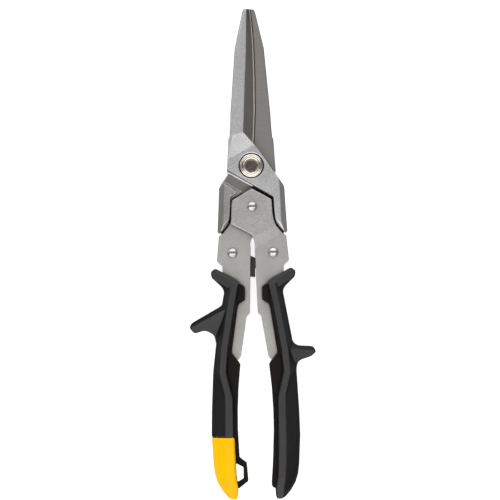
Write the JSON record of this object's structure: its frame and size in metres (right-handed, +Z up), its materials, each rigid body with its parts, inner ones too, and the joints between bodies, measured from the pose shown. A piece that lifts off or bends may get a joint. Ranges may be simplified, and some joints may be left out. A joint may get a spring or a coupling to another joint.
{
  "type": "aviation snips",
  "caption": "Long-cut sheet metal snips with compound-leverage jaws, a centre latch and two moulded grips with guards, finger rests and a lanyard loop.",
  "frame": {"origin": "centre of the footprint of the closed tool lying on its back, on the surface it lies on", "axes": "+Y from the grips towards the jaw tips, +Z up through the main pivot bolt, +X to the right seen from the bolt head's side with the tips away"},
  "size_m": [0.077, 0.3, 0.02],
  "materials": {
    "front_jaw_steel": "satin cast steel, cool light grey",
    "rear_jaw_steel": "satin cast steel, warmer and darker grey",
    "handle_steel": "satin pressed sheet steel",
    "bolt_nickel": "bright nickel plate",
    "rivet_steel": "polished steel",
    "hidden_steel": "plain machined steel",
    "spring_steel": "drawn spring wire",
    "latch_black": "black oxide",
    "core_plastic": "fine textured hard plastic",
    "overmould_rubber": "satin soft overmould",
    "cap_yellow": "semi-gloss yellow plastic"
  },
  "bodies": {
    "front_jaw_body": {"front_jaw": "front_jaw_steel", "pivot_bolt": "bolt_nickel", "pivot_washer": "bolt_nickel", "pivot_nut": "bolt_nickel", "right_rivet": "rivet_steel"},
    "rear_jaw_body": {"rear_jaw": "rear_jaw_steel", "left_rivet": "rivet_steel"},
    "right_handle": {"right_handle_frame": "handle_steel", "centre_rivet": "rivet_steel", "centre_spacer": "hidden_steel", "return_spring": "spring_steel", "latch_catch_pin": "hidden_steel", "right_grip_core": "core_plastic", "right_grip_overmould": "overmould_rubber"},
    "left_handle": {"left_handle_frame": "handle_steel", "latch_pivot_pin": "hidden_steel", "left_grip_core": "core_plastic", "left_grip_overmould": "overmould_rubber", "left_end_cap": "cap_yellow"},
    "latch_body": {"latch": "latch_black"}
  },
  "joints": [
    {"name": "jaw_opening", "type": "hinge", "parent": "front_jaw_body", "child": "rear_jaw_body", "pos_m": [0.00095, 0.0538, 0.01], "axis": [0, 0, -1], "range_deg": [0, 18], "deforming": ["return_spring"]},
    {"name": "right_handle_turn", "type": "hinge", "parent": "front_jaw_body", "child": "right_handle", "pos_m": [0.0134, 0.00065, 0.01], "axis": [0, 0, 1], "range_deg": [0, 8.83]},
    {"name": "left_handle_turn", "type": "hinge", "parent": "rear_jaw_body", "child": "left_handle", "pos_m": [-0.0115, 0.00065, 0.01], "axis": [0, 0, -1], "range_deg": [0, 8.83]},
    {"name": "latch_turn", "type": "hinge", "parent": "left_handle", "child": "latch_body", "pos_m": [-0.00525, -0.0122, 0.01], "axis": [0, 0, -1], "range_deg": [0, 14]}
  ],
  "couplings": [
    {"joint": "right_handle_turn", "follows": "jaw_opening", "ratio": 0.4905},
    {"joint": "left_handle_turn", "follows": "jaw_opening", "ratio": 0.4905}
  ]
}
